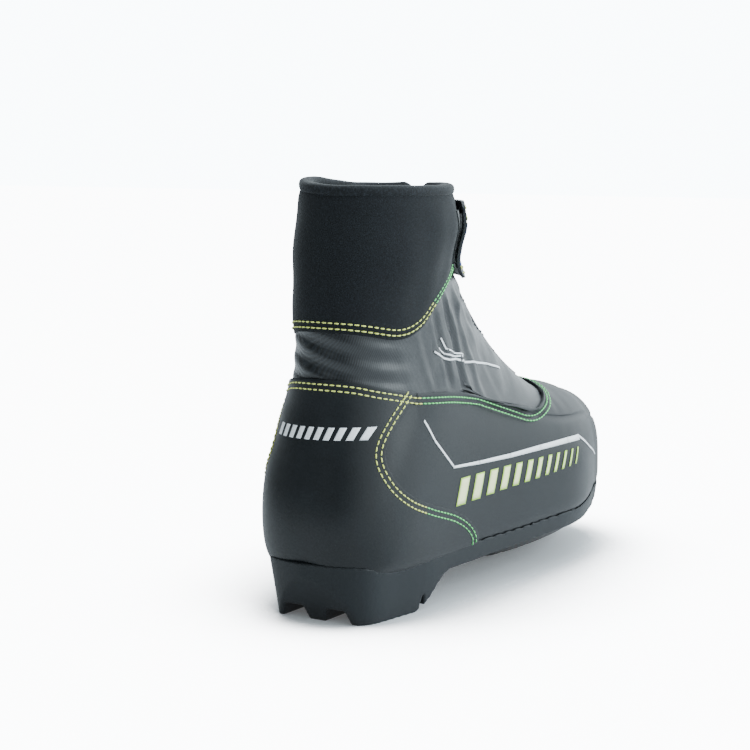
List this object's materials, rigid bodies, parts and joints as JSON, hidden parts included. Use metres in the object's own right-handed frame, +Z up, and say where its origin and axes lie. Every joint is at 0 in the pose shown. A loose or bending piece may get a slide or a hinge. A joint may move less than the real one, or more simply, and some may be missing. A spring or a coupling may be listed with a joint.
{
  "type": "cross country boot",
  "caption": "Ankle-high cross-country ski boot with a stretch cuff, zipped instep cover, closing flap, grooved sole and a steel toe bar.",
  "frame": {"origin": "on the ground below the middle of the boot", "axes": "toe towards -Y, outer side of this right boot towards -X, +Z up"},
  "size_m": [0.0973, 0.2876, 0.2102],
  "materials": {
    "sole_rubber": "matt moulded rubber, fine texture",
    "bar_steel": "turned steel bar",
    "bracket_steel": "pressed steel channel",
    "shank_steel": "spring steel strip",
    "fibre_board": "cellulose fibre board",
    "footbed_fabric": "knit-covered foam",
    "lining_fabric": "brushed knit lining on foam",
    "tongue_fabric": "foam-backed knit",
    "binding_knit": "knitted binding tape, sewn",
    "zip_metal": "black enamelled zinc",
    "zip_pull_metal": "black enamelled zinc",
    "cuff_neoprene": "jersey-faced neoprene",
    "cover_cloth": "coated ribbed cloth with a sheen",
    "upper_leather": "fine-grained coated leather, semi-gloss",
    "filler_foam": "cork and foam filler",
    "stiffener_plastic": "thermoplastic sheet",
    "eyestay_leather": "fine-grained coated leather",
    "eyelet_metal": "black enamelled brass",
    "zip_tape": "woven polyester tape",
    "zip_teeth": "moulded teeth",
    "strap_cloth": "coated cloth over webbing",
    "hook_tape": "hook tape",
    "loop_tape": "loop tape",
    "label_weave": "woven label with a plain pattern"
  },
  "bodies": {
    "boot": {"outsole": "sole_rubber", "toe_bar": "bar_steel", "toe_bar_bracket": "bracket_steel", "shank": "shank_steel", "lasting_board": "fibre_board", "footbed": "footbed_fabric", "lining": "lining_fabric", "tongue": "tongue_fabric", "cuff_binding": "binding_knit", "cuff": "cuff_neoprene", "cover_lateral": "cover_cloth", "cover_medial": "cover_cloth", "rear_quarter": "upper_leather", "vamp": "upper_leather", "bottom_filler": "filler_foam", "heel_counter": "stiffener_plastic", "toe_puff": "stiffener_plastic", "eyestay_lateral": "eyestay_leather", "eyestay_medial": "eyestay_leather", "eyelets": "eyelet_metal", "zip_tape_lateral": "zip_tape", "zip_tape_medial": "zip_tape", "zip_teeth_lateral": "zip_teeth", "zip_teeth_medial": "zip_teeth", "zip_stops": "zip_metal", "strap_loop_patch": "loop_tape"},
    "zip_slider": {"zip_slider": "zip_metal"},
    "zip_pull": {"zip_pull": "zip_pull_metal"},
    "cuff_strap": {"cuff_strap": "strap_cloth", "strap_hook_patch": "hook_tape", "strap_label": "label_weave"}
  },
  "joints": [
    {"name": "zip_travel", "type": "hinge", "parent": "boot", "child": "zip_slider", "pos_m": [-0.003, -0.1375, 0.276], "axis": [-1, 0, 0], "range_deg": [0, 19]},
    {"name": "zip_pull_swing", "type": "hinge", "parent": "zip_slider", "child": "zip_pull", "pos_m": [-0.003, 0.00444, 0.15148], "axis": [-1, 0, 0], "range_deg": [0, 150]},
    {"name": "flap_peel", "type": "hinge", "parent": "boot", "child": "cuff_strap", "pos_m": [0.0242, 0.0435, 0.16], "axis": [0.0825, 0.3898, 0.9172], "range_deg": [0, 110]}
  ]
}
